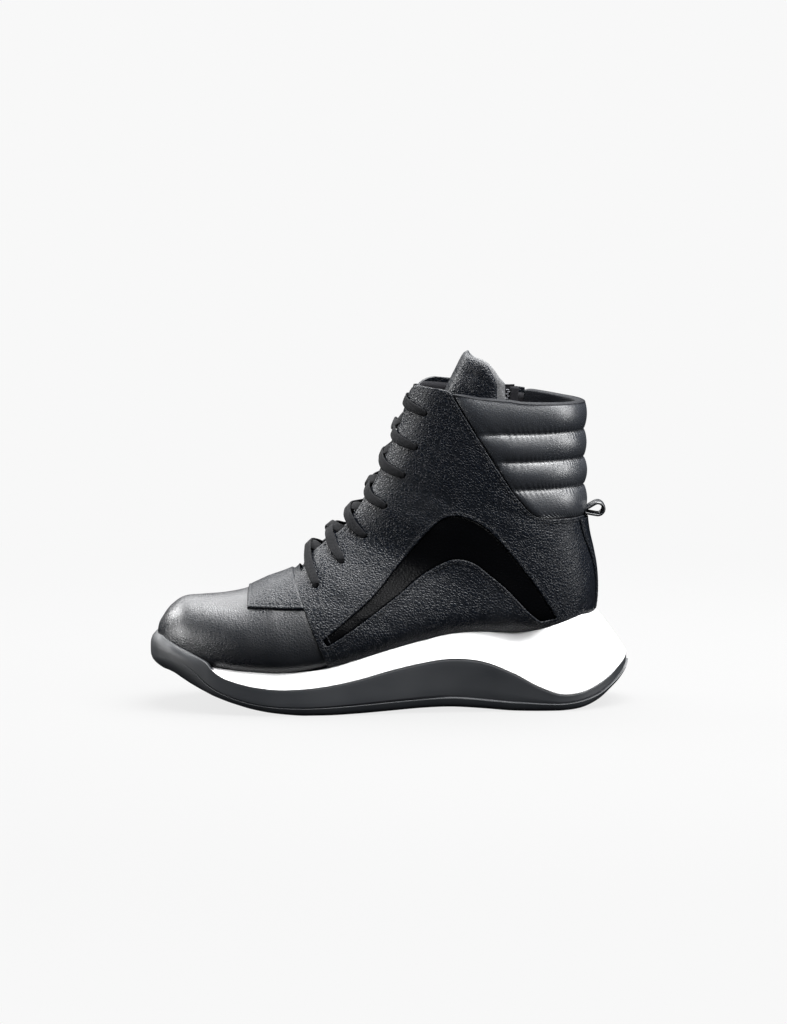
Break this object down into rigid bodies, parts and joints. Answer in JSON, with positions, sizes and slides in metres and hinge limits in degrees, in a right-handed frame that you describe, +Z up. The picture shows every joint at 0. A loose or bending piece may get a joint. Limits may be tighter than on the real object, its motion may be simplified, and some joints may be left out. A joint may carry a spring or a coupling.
{
  "type": "high-top sneaker boot",
  "caption": "Left high-top sneaker boot: black leather upper, quilted collar, arched side band, laces, side zip, wave-shaped white midsole on a dark cup sole.",
  "frame": {"origin": "middle of the footprint, on the floor", "axes": "-X to the toe, +X to the heel, -Y to the outer side, +Y to the inner side, +Z up"},
  "size_m": [0.278, 0.0974, 0.2056],
  "materials": {
    "leather": "pebbled satin",
    "patent": "smooth gloss",
    "rubber": "matte",
    "foam": "satin moulded foam",
    "lining": "smooth textile",
    "lace": "flat woven",
    "zip_tape": "woven tape with moulded teeth",
    "metal": "dark satin"
  },
  "bodies": {
    "boot": {"outsole": "rubber", "midsole": "foam", "upper": "leather", "quilted_collar": "leather", "tongue": "leather", "vamp_tab": "leather", "arch_band": "patent", "heel_strip": "leather", "pull_loop": "leather", "insole": "lining", "zip": "zip_tape", "zip_slider": "metal", "lace_1": "lace", "lace_2": "lace", "lace_3": "lace", "lace_4": "lace", "lace_5": "lace", "lace_6": "lace", "lace_7": "lace"},
    "puller": {"zip_pull": "metal"}
  },
  "joints": [
    {"name": "zip_pull_swing", "type": "hinge", "parent": "boot", "child": "puller", "pos_m": [0.07042, 0.03725, 0.1785], "axis": [1, 0, 0], "range_deg": [0, 160]}
  ]
}
